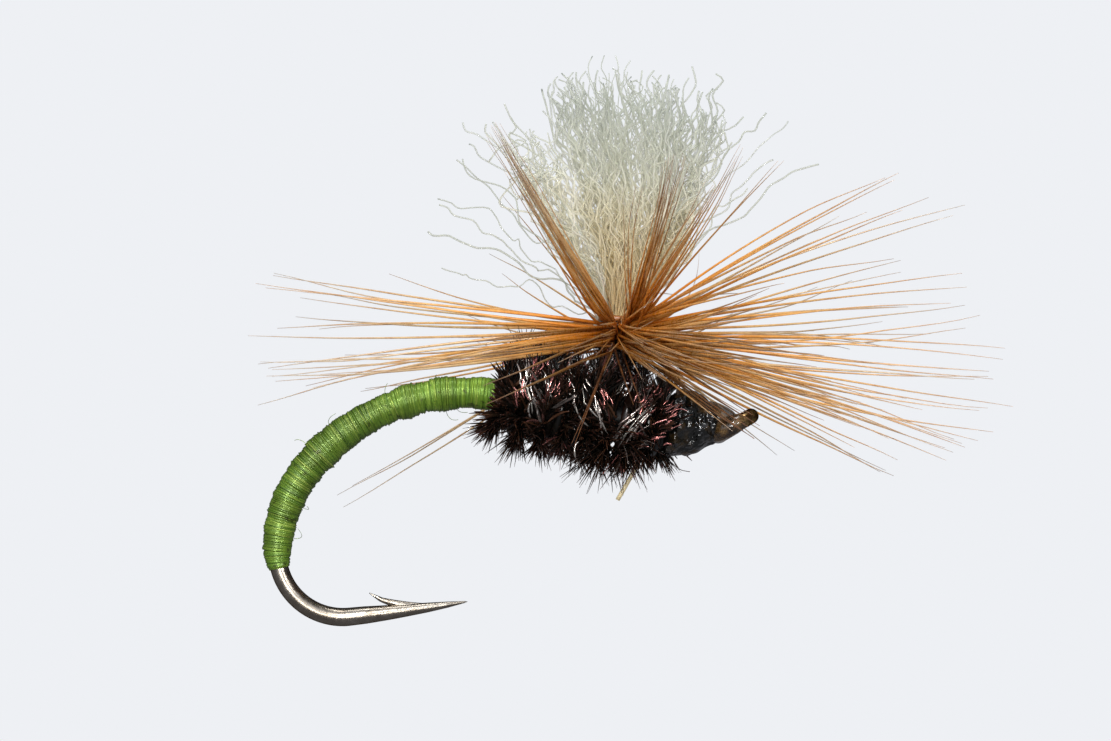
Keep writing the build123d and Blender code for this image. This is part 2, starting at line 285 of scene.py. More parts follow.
# ---- materials
class Nodes:
    """A short way to write the nodes of a material or a world."""

    def __init__(self, owner, output="OutputMaterial", place="Object"):
        owner.use_nodes = True
        self.owner, self.tree = owner, owner.node_tree
        self.tree.nodes.clear()
        self.output = self.node(output)
        self.place = self.node("TexCoord").outputs[place]

    def node(self, kind, settings=None, **sockets):
        made = self.tree.nodes.new("ShaderNode" + kind)
        for key, value in (settings or {}).items():
            setattr(made, key, value)
        for key, value in sockets.items():
            self.put(made.inputs[key.replace("_", " ")], value)
        return made

    def put(self, socket, value):
        """Links a socket, or sets it. A colour may leave out its fourth number."""
        if isinstance(value, bpy.types.NodeSocket):
            self.tree.links.new(value, socket)
        else:
            opaque = socket.type == "RGBA" and len(value) == 3
            socket.default_value = (*value, 1) if opaque else value

    def attribute(self, name):
        return self.node("Attribute", {"attribute_name": name}).outputs["Fac"]

    def noise(self, scale, detail, roughness=0.55):
        made = self.node("TexNoise", Scale=scale, Detail=detail, Roughness=roughness)
        self.put(made.inputs["Vector"], self.place)
        return made.outputs["Fac"]

    def facing(self, blend):
        """0 where a surface faces the view, 1 at its outline."""
        return self.node("LayerWeight", Blend=blend).outputs["Facing"]

    def ramp(self, factor, *stops):
        made = self.node("ValToRGB")
        elements = made.color_ramp.elements
        while len(elements) < len(stops):
            elements.new(0.5)
        for element, (position, colour) in zip(elements, stops):
            element.position = position
            element.color = (*colour, 1)
        self.put(made.inputs["Fac"], factor)
        return made.outputs["Color"]

    def mix(self, factor, a, b, blend="MIX"):
        made = self.node("Mix", {"data_type": "RGBA", "blend_type": blend})
        self.put(made.inputs["Factor"], factor)
        self.put(made.inputs[6], a)
        self.put(made.inputs[7], b)
        return made.outputs[2]

    def math(self, kind, a, b):
        made = self.node("Math", {"operation": kind})
        self.put(made.inputs[0], a)
        self.put(made.inputs[1], b)
        return made.outputs[0]

    def between(self, value, low, high, to_low, to_high):
        made = self.node("MapRange")
        for i, v in enumerate((value, low, high, to_low, to_high)):
            self.put(made.inputs[i], v)
        return made.outputs[0]

    def uneven(self, scale, low, high):
        """A roughness that varies over the surface between two values."""
        return self.between(self.noise(scale, 2), 0.3, 0.7, low, high)

    def bump(self, height, strength, distance):
        return self.node("Bump", Strength=strength, Distance=distance, Height=height).outputs["Normal"]

    def mixed(self, share, a, b):
        """One shader with a share of another."""
        both = self.node("MixShader")
        for socket, value in zip(both.inputs, (share, a.outputs[0], b.outputs[0])):
            self.put(socket, value)
        return both

    def finish(self, shader):
        self.put(self.output.inputs["Surface"], shader.outputs[0])
        return self.owner

    def surface(self, **sockets):
        return self.finish(self.node("BsdfPrincipled", **sockets))

    def fibre(self, through, share, **sockets):
        """A surface that a share of the light from behind comes through, in the colour through."""
        shader = self.node("BsdfPrincipled", **sockets)
        return self.finish(self.mixed(share, shader, self.node("BsdfTranslucent", Color=through)))


def new_material(name):
    return Nodes(bpy.data.materials.new(name))


def steel_material():
    """Dark nickel over drawn wire, mottled, with signs of wear and old lacquer on the eye. Painted dark
    reflection darkens it towards its outline.
    """
    m = new_material("dark_nickel_wire")
    cloud = m.noise(2600, 4)
    grain = m.noise(9000, 2)
    colour = m.ramp(cloud, (0.25, (0.19, 0.16, 0.125)), (0.55, (0.28, 0.25, 0.21)), (0.8, (0.38, 0.35, 0.30)))
    lacquer = m.ramp(
        m.noise(3600, 3), (0.35, (0.035, 0.020, 0.012)), (0.5, (0.20, 0.12, 0.05)), (0.68, (0.62, 0.44, 0.20)),
    )
    colour = m.mix(m.attribute("lacquer"), colour, lacquer)
    # Painted dark reflection: the wire turns dark brown towards its outline, where it faces away from the
    # view.
    colour = m.mix(m.between(m.facing(0.4), 0.40, 0.80, 0.0, 0.85), colour, (0.065, 0.048, 0.034))
    rough = m.between(grain, 0.3, 0.7, 0.22, 0.36)
    normal = m.bump(grain, 0.3, 0.00001)
    return m.surface(
        Base_Color=colour, Metallic=1.0, Roughness=rough, Specular_Tint=(0.35, 0.28, 0.22), Normal=normal,
    )


def green_thread_material():
    """Silky green filaments of their own shades, with flecks of wax and a lustre. Painted light and shade make
    it paler by the thorax and darker past its middle, and painted shade darkens its outline.
    """
    m = new_material("green_tying_thread")
    shade = m.ramp(
        m.attribute("tint"),
        (0.0, (0.072, 0.16, 0.020)), (0.35, (0.145, 0.29, 0.032)), (0.7, (0.25, 0.41, 0.050)),
        (1.0, (0.46, 0.60, 0.12)),
    )
    patches = m.noise(1400, 4, 0.6)
    colour = m.mix(m.between(patches, 0.42, 0.68, 0.0, 0.6), shade, (0.075, 0.125, 0.008))
    flecks = m.noise(5200, 2, 0.5)
    colour = m.mix(m.between(flecks, 0.62, 0.72, 0.0, 0.8), colour, (0.025, 0.035, 0.005))
    # Painted shade: the green darkens towards the outline.
    colour = m.mix(m.between(m.facing(0.3), 0.35, 0.95, 0.0, 0.6), colour, (0.025, 0.05, 0.006))
    # Painted light and shade along the body: paler by the thorax, darkest a little past the middle, lighter
    # again towards the bend.
    wear_and_painted_shading = m.ramp(
        m.attribute("along"),
        (0.0, (1, 1, 0.85)), (0.25, (0.74, 0.76, 0.65)), (0.55, (0.41, 0.42, 0.37)), (0.8, (0.58, 0.59, 0.50)),
    )
    colour = m.mix(1.0, colour, wear_and_painted_shading, "MULTIPLY")
    return m.surface(
        Base_Color=colour, Metallic=0.35, Roughness=m.uneven(7000, 0.28, 0.42),
        Specular_IOR_Level=0.75, Specular_Tint=(1.0, 1.0, 0.75),
    )


def black_thread_material():
    """Waxed black thread, with brown where wear has thinned it."""
    m = new_material("black_tying_thread")
    wear_and_painted_shading = m.noise(4200, 4, 0.6)
    colour = m.ramp(
        wear_and_painted_shading, (0.3, (0.003, 0.003, 0.0035)), (0.62, (0.007, 0.0065, 0.006)), (0.85, (0.03, 0.018, 0.010)),
    )
    return m.surface(Base_Color=colour, Roughness=m.uneven(9000, 0.3, 0.5), Specular_IOR_Level=0.2)


def yarn_material():
    """Clear polypropylene fibre: pale cream to sage, see-through in its middle, with painted shade greying it
    towards its edges.
    """
    m = new_material("poly_yarn_fibre")
    shade = m.ramp(
        m.attribute("tint"),
        (0.0, (0.80, 0.80, 0.71)), (0.4, (0.92, 0.91, 0.82)), (0.75, (0.96, 0.95, 0.87)),
        (1.0, (0.99, 0.98, 0.94)),
    )
    height = m.attribute("height")
    shade = m.mix(m.between(height, -0.5, 3.6, 0.9, 0.0), shade, (0.95, 0.79, 0.48))
    shade = m.mix(m.between(height, 3.4, 5.4, 0.0, 0.55), shade, (0.54, 0.58, 0.53))
    # Painted shade: each fibre greys towards its outline. The same facing value also makes its middle
    # see-through.
    edge = m.facing(0.35)
    colour = m.mix(m.between(edge, 0.3, 0.9, 0.0, 0.75), shade, (0.27, 0.31, 0.28))
    return m.fibre(
        colour, 0.48, Base_Color=colour, Roughness=m.uneven(8000, 0.07, 0.20), Specular_IOR_Level=0.9,
        Alpha=m.between(edge, 0.1, 0.8, 0.26, 0.94),
    )


def feather_material():
    """Ginger barbs: dark orange at the stem to straw at the tip, with redder and paler ones. The dark brown of
    the lowest tints is partly the barbs' own colour and partly painted shade.
    """
    m = new_material("ginger_hackle_barb")
    t = m.attribute("along")
    tint = m.attribute("tint")
    orange = m.ramp(
        t, (0.0, (0.34, 0.075, 0.006)), (0.2, (0.60, 0.19, 0.014)), (0.4, (0.72, 0.30, 0.045)),
        (0.6, (0.72, 0.40, 0.125)), (1.0, (0.50, 0.37, 0.27)),
    )
    brown = m.ramp(t, (0.0, (0.05, 0.016, 0.007)), (0.5, (0.075, 0.028, 0.011)), (1.0, (0.13, 0.055, 0.025)))
    straw = m.ramp(
        t, (0.0, (0.46, 0.13, 0.014)), (0.25, (0.62, 0.30, 0.07)), (0.5, (0.66, 0.46, 0.22)),
        (1.0, (0.48, 0.41, 0.33)),
    )
    # Low tints mix in dark brown: darker barbs, and painted shade on the near, drooping bunches.
    colour = m.mix(m.between(tint, 0.34, 0.08, 0.0, 1.0), orange, brown)
    colour = m.mix(m.between(tint, 0.62, 0.92, 0.0, 1.0), colour, straw)
    streak = m.noise(2200, 4)
    colour = m.mix(m.between(streak, 0.45, 0.75, 0.0, 0.5), colour, (0.34, 0.11, 0.02))
    return m.fibre(
        colour, 0.30, Base_Color=colour, Roughness=m.uneven(9000, 0.2, 0.4), Specular_IOR_Level=0.5,
    )


def herl_material():
    """Peacock barbules: near black, copper at 0.83 of the tint, silver at 0.92 and brown at their tips. The
    copper and silver are partly iridescence and partly painted glints.
    """
    m = new_material("peacock_barbule")
    tint = m.attribute("tint")
    t = m.attribute("along")
    # Pale copper pink and silver tints paint glints on a few barbules, over the herl's own iridescent tones.
    colour = m.ramp(
        tint,
        (0.0, (0.003, 0.003, 0.0025)), (0.55, (0.007, 0.0055, 0.004)), (0.68, (0.022, 0.012, 0.007)),
        (0.78, (0.09, 0.040, 0.022)), (0.83, (0.72, 0.28, 0.26)), (0.87, (0.20, 0.12, 0.10)),
        (0.92, (0.62, 0.57, 0.53)), (0.955, (0.05, 0.07, 0.03)), (1.0, (0.012, 0.02, 0.012)),
    )
    colour = m.mix(m.between(t, 0.6, 1.0, 0.0, 0.20), colour, (0.05, 0.022, 0.014))
    bright = m.math("MULTIPLY", m.math("GREATER_THAN", tint, 0.80), m.math("LESS_THAN", tint, 0.94))
    return m.fibre(
        (0.42, 0.18, 0.11), m.between(t, 0.45, 1.0, 0.03, 0.34),
        Base_Color=colour, Metallic=m.math("MULTIPLY", bright, 0.85), Roughness=m.uneven(8000, 0.14, 0.28),
        Specular_IOR_Level=0.35,
    )


def quill_material():
    """A feather's pale, waxy stem."""
    m = new_material("pale_quill")
    colour = m.ramp(m.noise(2400, 4), (0.3, (0.42, 0.33, 0.17)), (0.7, (0.66, 0.58, 0.38)))
    return m.surface(
        Base_Color=colour, Roughness=0.35, Subsurface_Weight=0.1, Subsurface_Radius=(0.0001, 0.0001, 0.0001),
    )


def stem_material():
    """The wound stem: orange brown, darker between its turns."""
    m = new_material("wound_hackle_stem")
    colour = m.ramp(m.noise(3000, 4), (0.3, (0.17, 0.05, 0.01)), (0.7, (0.38, 0.14, 0.03)))
    return m.surface(Base_Color=colour, Roughness=0.4)


def cement_material():
    """Varnish over black thread: wet, uneven and mostly as black as the thread, with brown patches."""
    m = new_material("amber_head_cement")
    colour = m.ramp(
        m.noise(1900, 3),
        (0.5, (0.003, 0.0035, 0.003)), (0.62, (0.03, 0.018, 0.006)), (0.8, (0.14, 0.075, 0.025)),
    )
    normal = m.bump(m.noise(1500, 3), 1.0, 0.0006)
    return m.surface(Base_Color=colour, Roughness=0.06, Alpha=0.98, Normal=normal, Specular_IOR_Level=0.55)


def amber_material():
    """Thick varnish by the eye: brown, wet and see-through over the lacquered wire."""
    m = new_material("amber_varnish")
    colour = m.ramp(
        m.noise(2600, 3),
        (0.35, (0.015, 0.009, 0.005)), (0.55, (0.10, 0.055, 0.018)), (0.75, (0.30, 0.18, 0.06)),
    )
    normal = m.bump(m.noise(2600, 2), 0.5, 0.00008)
    return m.surface(Base_Color=colour, Roughness=0.20, Alpha=0.72, Normal=normal, Specular_IOR_Level=1.0)


STEEL = steel_material()
GREEN = green_thread_material()
BLACK = black_thread_material()
YARN = yarn_material()
FEATHER = feather_material()
HERL = herl_material()
QUILL = quill_material()
STEM = stem_material()
CEMENT = cement_material()
AMBER = amber_material()


def finish_piece(obj, material, slot, *nodes):
    """Gives a piece its material and the root body, and hides the CAD nodes it stands for. The slot is not
    used.
    """
    obj.data.materials.clear()
    obj.data.materials.append(material)
    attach(obj, "root")
    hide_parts(*nodes)


# ---- hook
POINT_LIFT = 0.07
EYE_AXIS = np.cross(along(EYE_TILT), Y_AXIS)


def eye_ring(angle):
    """Points of the eye's centre line, at angles from its front."""
    return EYE_RING_R * (along(EYE_TILT) * np.cos(angle)[:, None] + Y_AXIS * np.sin(angle)[:, None])


def wire_radius(d):
    """The wire's radius: thinner at the eye, full round the bend, then ground down to the point."""
    point_start = WIRE_AT[-1] - POINT_LENGTH
    r = np.interp(d, [0, SHANK_TAPER], [EYE_WIRE_R, WIRE_R])
    stations = point_start + np.array([-0.5, 0.0, 0.7, 1.6, 2.1, 2.55, POINT_LENGTH])
    ground = np.interp(d, stations, [WIRE_R, 0.225, 0.185, 0.125, 0.08, 0.025, 0.006])
    return np.where(d < stations[0], r, ground)


def make_hook():
    s = Strands()
    point_start = WIRE_AT[-1] - POINT_LENGTH
    share = np.clip((WIRE_AT - point_start) / POINT_LENGTH, 0, 1)
    line = WIRE_POINTS + UPWARD * POINT_LIFT * (share**2)[:, None]
    near_eye = smooth(1 - WIRE_AT / 0.25)
    s.add(line, wire_radius(WIRE_AT), sides=40, across=Y_AXIS, lacquer=near_eye)
    a = np.linspace(0, TAU, 97)
    s.add(eye_ring(a), EYE_WIRE_R, sides=32, across=EYE_AXIS, lacquer=1)
    # the barb, from inside the wire up to its tip
    origin, run, up = on_wire(point_start)
    t = np.linspace(0, 1, 40)
    reach = np.interp(t, [0, 0.55, 0.8, 1], [1.75, 0.85, 0.46, 0.16])
    lift = np.interp(t, [0, 0.55, 0.8, 1], [0.06, 0.235, 0.37, 0.55])
    lift = lift - 0.05 * np.sin(math.pi * t)
    line = origin + run * reach[:, None] + up * lift[:, None]
    wide = np.interp(t, [0, 0.55, 0.85, 1], [0.03, 0.09, 0.065, 0.010])
    thick = np.interp(t, [0, 0.55, 0.85, 1], [0.05, 0.105, 0.055, 0.010])
    s.add(line, wide, thick, sides=20, across=Y_AXIS, lacquer=0)
    finish_piece(s.build("hook_wire"), STEEL, "hook_wire", "hook")


# ---- abdomen
ABDOMEN_START, ABDOMEN_END = 5.05, 13.85
ABDOMEN_SHARE = [0.0, 0.08, 0.25, 0.45, 0.62, 0.84, 0.94, 1.0]
ABDOMEN_RADII = [0.37, 0.40, 0.42, 0.41, 0.455, 0.435, 0.40, 0.30]
ABDOMEN_TURNS, ABDOMEN_FILAMENTS = 128, 5
LUMPS = np.random.default_rng(5).normal(0, 0.022, 40)
NUBS = np.random.default_rng(6).normal(0, 0.010, 130)


def abdomen_radius(d):
    """The abdomen's outside at a distance along the wire, with the wraps' unevenness."""
    share = np.clip((np.asarray(d) - ABDOMEN_START) / (ABDOMEN_END - ABDOMEN_START), 0, 1)
    lumps = np.interp(share, np.linspace(0, 1, len(LUMPS)), LUMPS)
    nubs = np.interp(share, np.linspace(0, 1, len(NUBS)), NUBS)
    return np.interp(share, ABDOMEN_SHARE, ABDOMEN_RADII) + lumps + nubs


def make_abdomen():
    rng = np.random.default_rng(11)
    s = Strands()
    per_turn = 23
    for _ in range(ABDOMEN_FILAMENTS):
        phase = rng.uniform(0, TAU)
        line, run, out = coil_line(
            ABDOMEN_START, ABDOMEN_END, ABDOMEN_TURNS, lambda d: abdomen_radius(d) - 0.022,
            per_turn, rng, 0.035, phase,
        )
        k = len(line)
        lift = wander(rng, 1, k, 9, 0.006)[0] + 0.022 * smooth((wander(rng, 1, k, 11, 1.0)[0] - 1.1) * 2)
        line = line + out * lift[:, None]
        tint = np.clip(0.5 + wander(rng, 1, k, per_turn // 2, 0.24)[0], 0, 1)
        wide = 0.021 + wander(rng, 1, k, 12, 0.003)[0]
        s.add(line, wide, 0.016, sides=6, across=run, tint=tint)
    d = np.linspace(ABDOMEN_START, ABDOMEN_END, 240)
    point, run, up = on_wire(d)
    s.add(point, abdomen_radius(d) - 0.026, sides=32, across=Y_AXIS, tint=0.25)
    loose_filaments(s, rng)
    finish_piece(s.build("abdomen_wraps"), GREEN, "green_thread", "abdomen_thread")


def loose_filaments(s, rng):
    """A few single filaments that have sprung out of the wraps."""
    for _ in range(16):
        d = rng.uniform(ABDOMEN_START + 1.2, ABDOMEN_END - 0.2)
        angle = rng.uniform(0, TAU)
        point, run, up = on_wire(d)
        out = up * math.cos(angle) + Y_AXIS * math.sin(angle)
        side = np.cross(run, out)
        r = float(abdomen_radius(d))
        t = np.linspace(0, 1, 16)
        reach = rng.uniform(0.08, 0.28)
        span = rng.uniform(-0.35, 0.35)
        line = (
            point
            + out * (r - 0.02 + reach * np.sin(math.pi * t * rng.uniform(0.55, 0.95)))[:, None]
            + side * (rng.uniform(0.1, 0.35) * t)[:, None]
            + run * (span * t * t)[:, None]
        )
        s.add(line, 0.0065, sides=4, tint=rng.uniform(0.3, 0.9))


# ---- wing post
FAN_HEIGHT = 5.72


def fan_half_width(h):
    """Half the fan's width at a height above the hackle."""
    return np.interp(h, [0, 1.05, 2.25, 4.0, 5.5, 6.5], [0.34, 0.85, 1.36, 1.80, 2.30, 2.60])


def crinkle(rng, n, k, fine, broad):
    """Waves of a kinked fibre: close small ones over slower, wider ones."""
    return wander(rng, n, k, 3, fine) + wander(rng, n, k, 8, broad)


def yarn_lines(rng, lean_x, lean_y, height, k=60):
    """Crinkled fibres up the column and out to leans of -1 to 1 across and through the fan."""
    n = len(lean_x)
    t = np.linspace(0, 1, k)[None, :]
    h = -0.9 + (height[:, None] + 0.9) * t
    open_x = np.where(h < 0, 0.30, fan_half_width(h))
    open_y = np.where(h < 0, 0.30, fan_half_width(h) * 0.78)
    across = lean_x[:, None] * open_x
    through = lean_y[:, None] * open_y
    line = POST_BASE + POST_AXIS * (COLUMN_TOP + h)[..., None]
    belly = np.interp(h, [-0.5, 0.0, 0.9, 2.4, 5.8], [0.0, 0.10, 0.34, 0.30, -0.12])
    line = line + POST_SIDE * (across + belly)[..., None] + Y_AXIS * through[..., None]
    grow = 0.22 + 0.78 * smooth(h / 2.0)
    for axis, share in ((POST_SIDE, 1.0), (Y_AXIS, 1.0), (POST_AXIS, 0.4)):
        line = line + axis * (crinkle(rng, n, k, 0.102, 0.19) * grow * share)[..., None]
    return line


def fan_fibres(rng, n, low, high):
    """Fibres of one strand, between two leans across the fan, trimmed to a shallow dome."""
    lean_x = rng.uniform(low, high, n)
    lean_y = rng.uniform(-1, 1, n) * np.sqrt(np.clip(1 - lean_x**2, 0.12, 1))
    height = FAN_HEIGHT + 0.1 - 0.7 * lean_x**2 - 0.3 * lean_y**2 + rng.normal(0, 0.32, n)
    short = rng.random(n) < 0.36
    height[short] -= rng.uniform(0.3, 3.0, short.sum())
    return yarn_lines(rng, lean_x, lean_y, height)


def folded(rng, lines):
    """Bends many of the fibres back at their ends, forward or down."""
    k = lines.shape[1]
    u = np.clip((np.linspace(0, 1, k) - 0.78) / 0.22, 0, 1)[None, :, None]
    amount = (rng.random((len(lines), 1, 1)) < 0.6) * rng.uniform(0.5, 1.2, (len(lines), 1, 1))
    ahead = rng.uniform(0.1, 1.0, (len(lines), 1, 1))
    return lines + amount * (POST_SIDE * ahead * u - POST_AXIS * 1.5 * u**2)


def add_yarn(s, rng, lines, greyed=-1.0):
    """Fibres into a strand. They turn from straw to grey with height, and are at least as grey as asked."""
    n, k, _ = lines.shape
    r = rng.uniform(0.016, 0.025, (n, 1)) * np.ones((1, k))
    height = np.maximum(np.dot(lines - POST_CENTRE, POST_AXIS), greyed)
    s.add(lines, r, r * 0.75, sides=6, tint=rng.random(n), height=height)


def stray_fibres(rng, ends, k=60):
    """Fibres that leave the fan on their own, each to its end."""
    lines = []
    t = np.linspace(0, 1, k)[:, None]
    for x, y, z in ends:
        base = off_post(COLUMN_TOP - 0.4, rng.uniform(0, TAU), 0.2)
        end = POST_CENTRE + np.array([x, y, z])
        shares = np.array([rng.uniform(0.28, 0.42), 0.35, rng.uniform(0.45, 0.6)])
        middle = POST_CENTRE + shares * (x, y, z)
        line = base * (1 - t) ** 2 + middle * 2 * t * (1 - t) + end * t**2
        for axis in np.eye(3):
            line = line + axis * crinkle(rng, 1, k, 0.045, 0.15)[0][:, None] * smooth(t * 3)
        lines.append(line)
    return np.array(lines)


# Ends of the long strays: forward, to the far side and up from the middle of the hackle
STRAYS_REAR = [
    (-4.9, -0.8, 2.4), (-4.5, 0.6, 3.2), (-4.35, -1.4, 2.9), (-3.9, -0.5, 5.1), (-4.1, 1.2, 4.2),
    (-3.6, 0.9, 4.4), (-4.6, 0.2, 1.4), (-3.9, -1.6, 4.0), (-3.2, 1.8, 5.2), (-2.9, -2.0, 5.6),
]
STRAYS_FRONT = [
    (4.4, 0.6, 5.1), (3.7, -0.9, 5.3), (5.3, 0.4, 3.9), (3.2, 1.3, 5.2), (3.0, -1.6, 4.6), (4.0, 1.0, 4.3),
    (3.3, -0.3, 3.4),
]


def make_wing():
    rng = np.random.default_rng(23)
    rear, middle, front = Strands(), Strands(), Strands()
    add_yarn(rear, rng, fan_fibres(rng, 105, -1.0, -0.30))
    add_yarn(middle, rng, fan_fibres(rng, 120, -0.36, 0.36))
    add_yarn(front, rng, fan_fibres(rng, 100, 0.30, 1.0))
    clump = 52
    lean_x = rng.normal(-1.50, 0.24, clump)
    lean_y = rng.normal(-0.35, 0.28, clump)
    lines = yarn_lines(rng, lean_x, lean_y, rng.normal(4.3, 0.40, clump))
    add_yarn(rear, rng, folded(rng, lines), 3.2)
    add_yarn(rear, rng, stray_fibres(rng, STRAYS_REAR), 5.2)
    add_yarn(front, rng, stray_fibres(rng, STRAYS_FRONT), 4.8)
    for part, strands in (("rear", rear), ("middle", middle), ("front", front)):
        finish_piece(strands.build("wing_yarn_" + part), YARN, "wing_yarn", "wing_strand_" + part)


# ---- hackle
STEM_PITCH, STEM_WIDE, STEM_R, HACKLE_TURNS = 0.17, 0.075, 0.055, 5

# Bunches that stand out: where their tips lie forward and up of the hackle's middle, which side they
# are on (-1 near, 1 far), their spread, how many barbs, and their tone (0 brown, 0.5 orange, 1 straw).
# Low tones paint the shade on the near, drooping bunches as well as darker barbs.
BUNCHES = (
    (-3.0, 4.8, -1, 0.1, 12, 0.8), (-2.3, 4.1, -1, 0.12, 5, 0.65),
    (-0.1, 3.4, -1, 0.15, 3, 0.35), (0.9, 3.9, -1, 0.08, 12, 0.76),
    (1.3, 4.0, -1, 0.08, 5, 0.35), (2.0, 3.4, -1, 0.1, 6, 0.5),
    (2.7, 4.2, -1, 0.12, 5, 0.6), (3.5, 3.9, -1, 0.15, 2, 0.6),
    (6.3, 3.6, -1, 0.25, 4, 0.6), (5.5, 3.2, -1, 0.3, 3, 0.7),
    (8.2, 2.8, -1, 0.12, 2, 0.8), (7.0, 1.8, 1, 0.25, 3, 0.6),
    (8.0, 1.1, -1, 0.15, 3, 0.55), (8.6, 0.5, 1, 0.2, 3, 0.7),
    (9.4, -0.3, -1, 0.15, 2, 0.6), (8.8, -0.7, -1, 0.2, 3, 0.5),
    (9.3, -1.3, -1, 0.15, 2, 0.6), (8.8, -1.9, -1, 0.2, 3, 0.5),
    (8.3, -2.5, -1, 0.2, 4, 0.5), (7.8, -2.9, -1, 0.2, 3, 0.55),
    (5.2, -1.7, -1, 0.45, 9, 0.45), (3.6, -0.7, -1, 0.6, 20, 0.38),
    (2.7, 0.0, -1, 0.5, 18, 0.33), (1.7, -0.5, -1, 0.35, 12, 0.31),
    (1.1, -0.9, -1, 0.3, 8, 0.3), (0.6, -0.35, -1, 0.22, 9, 0.27),
    (-0.3, -0.3, -1, 0.2, 6, 0.22), (0.3, 0.5, -1, 0.4, 7, 0.38),
    (6.6, -2.6, -1, 0.4, 6, 0.5), (3.1, -2.2, -1, 0.1, 5, 0.12),
    (-8.7, 1.4, 1, 0.12, 2, 0.85), (-8.8, 1.0, -1, 0.15, 2, 0.85),
    (-7.9, 0.7, 1, 0.3, 2, 0.9), (-6.2, -0.6, 1, 0.4, 3, 0.9),
    (-8.8, 0.0, -1, 0.15, 2, 0.85), (-8.3, -0.8, -1, 0.18, 4, 0.95),
    (-7.4, -1.2, -1, 0.25, 3, 0.8), (-8.5, -1.0, 1, 0.25, 3, 1.0),
    (-4.2, -0.7, -1, 0.15, 4, 0.24), (-3.1, -1.3, -1, 0.1, 2, 0.16),
    (-1.3, -0.3, -1, 0.22, 4, 0.22), (-3.4, -0.3, -1, 0.15, 4, 0.22),
    (-1.1, -2.7, -1, 0.08, 2, 0.04), (0.6, -1.7, -1, 0.12, 2, 0.06),
    (-6.6, -4.0, 1, 0.2, 3, 0.9), (4.2, -3.2, 1, 0.25, 2, 0.8),
    (6.8, -3.4, 1, 0.25, 3, 0.75), (0.0, 1.5, 1, 1.6, 14, 0.5),
)
LOOSE_BARBS = 36
BARB_LENGTH = 9.0
TIP_CROWDING = 1.35


def barb_rows(rng):
    """Direction, length, tone, bend, sway and root angle of every barb. Barbs of a bunch keep together."""
    rows = []
    for x, z, side, spread, count, tone in BUNCHES:
        bend, sway, foot = rng.normal(0, 0.15), rng.normal(0, 0.15), rng.normal(0, 0.4)
        for _ in range(count):
            tip = np.array([x, z]) + rng.normal(0, spread, 2)
            reach = max(rng.normal(BARB_LENGTH, 0.45), np.hypot(*tip) + 0.02)
            way = np.array([tip[0], side * math.sqrt(reach**2 - np.dot(tip, tip)), tip[1]]) / reach
            loose = min(1, spread / 0.22)
            own = rng.normal(0, 1, 4) * (0.16, 0.07 * loose, 0.09 * loose, 0.14 * loose)
            shade = max(tone + own[0], 0.20) if tone > 0.2 else tone
            seen = np.hypot(*tip) / reach
            curve = np.array([bend, sway, foot]) + own[1:]
            rows.append((*way, reach, shade, *curve * seen))
    for _ in range(LOOSE_BARBS):
        azimuth, rise = rng.uniform(0.5, math.pi - 0.5), rng.normal(0.03, 0.10)
        way = (math.cos(azimuth) * math.cos(rise), math.sin(azimuth) * math.cos(rise), math.sin(rise))
        rows.append((*way, rng.normal(8.5, 0.7), rng.uniform(0.3, 1), *rng.normal(0, 1, 3) * (0.2, 0.25, 0.5)))
    return np.array(rows)


def barb_lines(rng, rows, height, k=24):
    """Barbs that leave the stem aslant round the post and turn out to their own direction."""
    n = len(rows)
    out, length, bend, sway = rows[:, :3], rows[:, 3], rows[:, 5], rows[:, 6]
    azimuth = np.arctan2(out[:, 1], out[:, 0])
    angle = azimuth + rows[:, 7]
    root = off_post(height, angle, POST_WRAP_R + 0.05)
    ring = np.stack([np.cos(angle), np.sin(angle), np.zeros(n)], -1)
    slant = np.cross(UPWARD, ring) * rng.normal(0.1, 0.15, (n, 1)) + UPWARD * rng.normal(0, 0.12, (n, 1))
    first = unit(ring * 0.7 + out + slant)
    t = np.linspace(0, 1, k) ** TIP_CROWDING
    reach = length[:, None] * t
    turn = smooth(reach / 1.5)[..., None]
    way = unit(first[:, None] * (1 - turn) + out[:, None] * turn)
    steps = np.diff(reach, axis=1)[..., None] * (way[:, 1:] + way[:, :-1]) / 2
    line = root[:, None] + np.concatenate([np.zeros((n, 1, 3)), np.cumsum(steps, axis=1)], axis=1)
    side = unit(np.cross(out, UPWARD))
    over = np.cross(side, out)
    bow = (4 * t * (1 - t))[None, :, None]
    line = line + over[:, None] * bow * bend[:, None, None] + side[:, None] * bow * sway[:, None, None]
    tail = smooth((t - 0.7) / 0.3)[None, :, None]
    seen = np.hypot(out[:, 0], out[:, 2])[:, None]
    flick = seen * (over * rng.normal(0, 0.09, (n, 1)) + side * rng.normal(0, 0.12, (n, 1)))
    return line + flick[:, None] * tail


def make_hackle():
    rng = np.random.default_rng(31)
    rows = barb_rows(rng)
    order = np.argsort(-rows[:, 2] + rng.normal(0, 0.15, len(rows)))
    for turn, members in enumerate(np.array_split(order, HACKLE_TURNS)):
        n = len(members)
        height = COLUMN_TOP - 0.11 - (turn + rng.random(n)) * STEM_PITCH
        line = barb_lines(rng, rows[members], height)
        t = np.linspace(0, 1, line.shape[1])[None, :] ** TIP_CROWDING
        width = rng.uniform(0.031, 0.047, (n, 1)) * (1 - t) ** 0.85 + 0.005
        width = width * (1 + 0.35 * smooth((0.25 - rows[members, 4:5]) / 0.2))
        s = Strands()
        s.add(line, width, width * 0.55, sides=6, across=UPWARD, tint=np.clip(rows[members, 4], 0, 1))
        name = f"hackle_turn_{turn + 1}"
        finish_piece(s.build(name), FEATHER, "hackle_feather", f"hackle_barbs_{turn + 1}")
    make_stem()
    make_butt()


